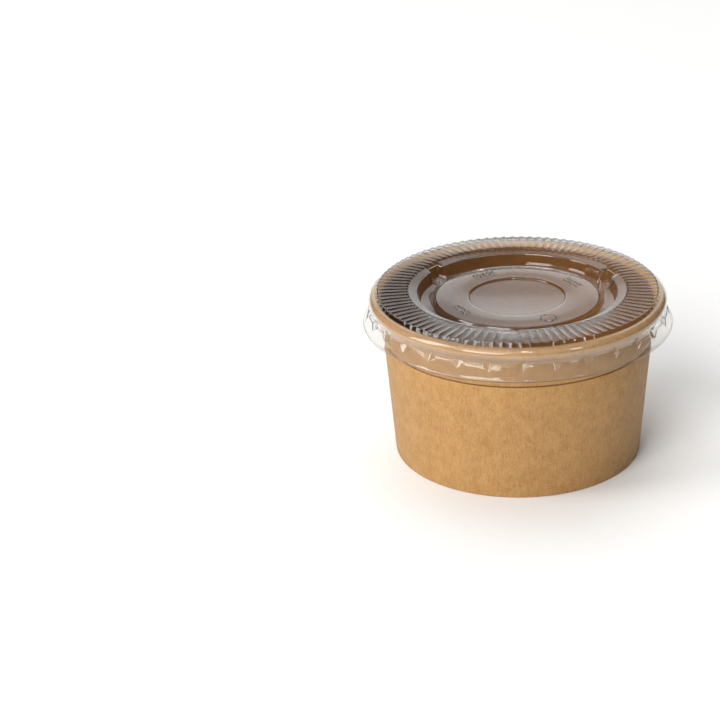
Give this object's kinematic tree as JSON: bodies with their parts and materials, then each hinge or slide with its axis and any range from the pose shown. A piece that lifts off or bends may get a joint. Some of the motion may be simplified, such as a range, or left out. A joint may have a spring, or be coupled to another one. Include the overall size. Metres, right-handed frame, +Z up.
{
  "type": "lidded sauce cup",
  "caption": "Round kraft-paper portion cup with a tapered wall, rolled rim and recessed base, closed by a clear press-on plastic lid with a pleated ring; holds sauce or dip.",
  "frame": {"origin": "centre of the foot, on the surface that the cup stands on", "axes": "+Z up along the cup's axis; -Y is the front of the picture"},
  "size_m": [0.0792, 0.0792, 0.0441],
  "materials": {
    "kraft_wall": "uncoated brown kraft board with fine fibres",
    "kraft_base": "uncoated brown kraft board with fine fibres",
    "clear_lid": "clear thermoformed sheet, glossy"
  },
  "bodies": {
    "root": {"cup_wall": "kraft_wall", "cup_base": "kraft_base", "lid": "clear_lid"}
  },
  "joints": []
}
